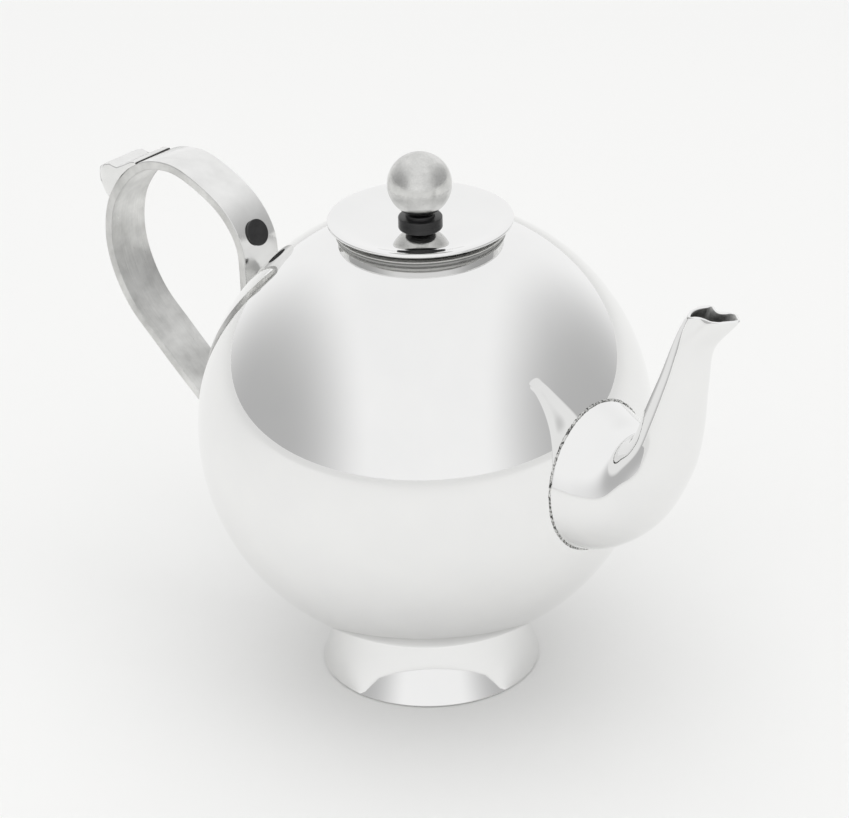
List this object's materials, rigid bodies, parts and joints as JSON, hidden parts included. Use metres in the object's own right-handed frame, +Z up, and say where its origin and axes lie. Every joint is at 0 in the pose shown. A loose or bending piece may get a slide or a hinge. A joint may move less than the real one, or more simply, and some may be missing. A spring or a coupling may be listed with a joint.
{
  "type": "teapot",
  "caption": "Round polished steel teapot on a flared foot, with a swan-neck spout, strap handle with a thumb rest, lift-out tea basket and a flat lid with a ball knob.",
  "frame": {"origin": "centre of the bounding box in X and Y at the table plane, z = 0 at the foot's lower rim", "axes": "+X towards the spout, +Y to the left of the spout seen from the handle, +Z up"},
  "size_m": [0.2544, 0.144, 0.176],
  "materials": {
    "polished_steel": "mirror polished",
    "satin_steel": "satin, fine brushed",
    "basket_steel": "thin sheet, soft sheen",
    "black_plastic": "smooth moulded"
  },
  "bodies": {
    "pot": {"body_lower": "polished_steel", "body_upper": "polished_steel", "foot": "polished_steel", "neck_collar": "satin_steel", "spout": "polished_steel", "handle_strap": "satin_steel", "thumb_rest": "satin_steel", "handle_plug": "black_plastic"},
    "basket": {"basket_rim": "basket_steel", "basket_wall": "basket_steel", "basket_floor": "basket_steel"},
    "lid": {"lid_disc": "polished_steel", "lid_skirt": "satin_steel", "lid_plug": "satin_steel", "knob_washer": "black_plastic", "knob_ball": "satin_steel", "spread_washer": "satin_steel", "knob_screw": "satin_steel"}
  },
  "joints": [
    {"name": "basket_lift", "type": "slide", "parent": "pot", "child": "basket", "axis": [0, 0, 1], "range_m": [0, 0.11]},
    {"name": "lid_lift", "type": "slide", "parent": "basket", "child": "lid", "axis": [0, 0, 1], "range_m": [0, 0.06]}
  ]
}
